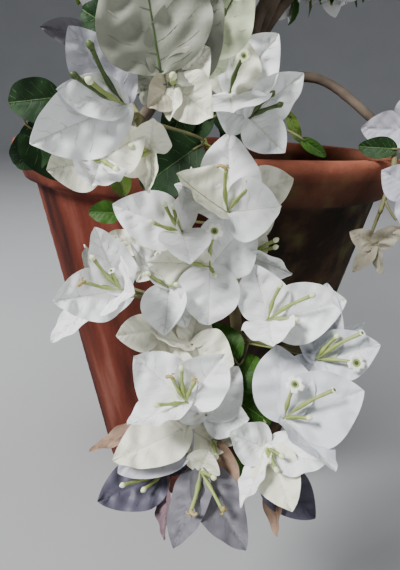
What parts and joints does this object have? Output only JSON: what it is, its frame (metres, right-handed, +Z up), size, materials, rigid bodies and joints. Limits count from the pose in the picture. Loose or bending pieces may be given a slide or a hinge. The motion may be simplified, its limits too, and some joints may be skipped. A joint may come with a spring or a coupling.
{
  "type": "potted white-flowered bougainvillea bush",
  "caption": "Climbing shrub in a round clay pot, with arching boughs, thin leaves and papery white bracts, and a flowering shoot that hangs over the rim.",
  "frame": {"origin": "centre of the flat underside of the pot", "axes": "+Z up along the axis of the pot; -Y towards the side where the flowering shoot hangs over the rim; +X to the right as that side is faced"},
  "size_m": [0.6503, 0.5837, 0.9024],
  "materials": {
    "clay": "weathered unglazed red clay with dark stains and green-brown growth",
    "earth": "dark crumbly potting soil",
    "bark": "rough grey-brown bark with shallow lengthwise furrows",
    "green_bark": "thin young bark, olive to brown",
    "foliage": "papery white bracts with fine veins, and mid green leaves"
  },
  "bodies": {
    "root": {"bough_cascade_left": "green_bark", "bough_cascade_low_left": "green_bark", "bough_cascade_low_right": "green_bark", "bough_cascade_right": "green_bark", "bough_cascade_upper": "green_bark", "bough_crown_back_left": "bark", "bough_crown_back_right": "bark", "bough_crown_front_left": "bark", "bough_crown_front_right": "bark", "bough_crown_left": "bark", "bough_crown_right": "bark", "bough_crown_top": "bark", "bough_crown_upper_back": "bark", "bough_crown_upper_front": "bark", "bough_crown_upper_left": "bark", "bough_crown_upper_right": "bark", "bough_front_arch": "bark", "bough_front_hang": "green_bark", "bough_right_edge": "bark", "bough_rim_left": "bark", "bough_rim_middle": "bark", "bough_rim_right": "bark", "mass_cascade_left": "foliage", "mass_cascade_low_left": "foliage", "mass_cascade_low_right": "foliage", "mass_cascade_right": "foliage", "mass_cascade_tip": "foliage", "mass_cascade_upper": "foliage", "mass_crown_back_left": "foliage", "mass_crown_back_right": "foliage", "mass_crown_front_left": "foliage", "mass_crown_front_right": "foliage", "mass_crown_left": "foliage", "mass_crown_right": "foliage", "mass_crown_top": "foliage", "mass_crown_upper_back": "foliage", "mass_crown_upper_front": "foliage", "mass_crown_upper_left": "foliage", "mass_crown_upper_right": "foliage", "mass_right_edge": "foliage", "mass_rim_left": "foliage", "mass_rim_middle": "foliage", "mass_rim_right": "foliage", "pot": "clay", "soil": "earth", "trunk": "bark"}
  },
  "joints": []
}
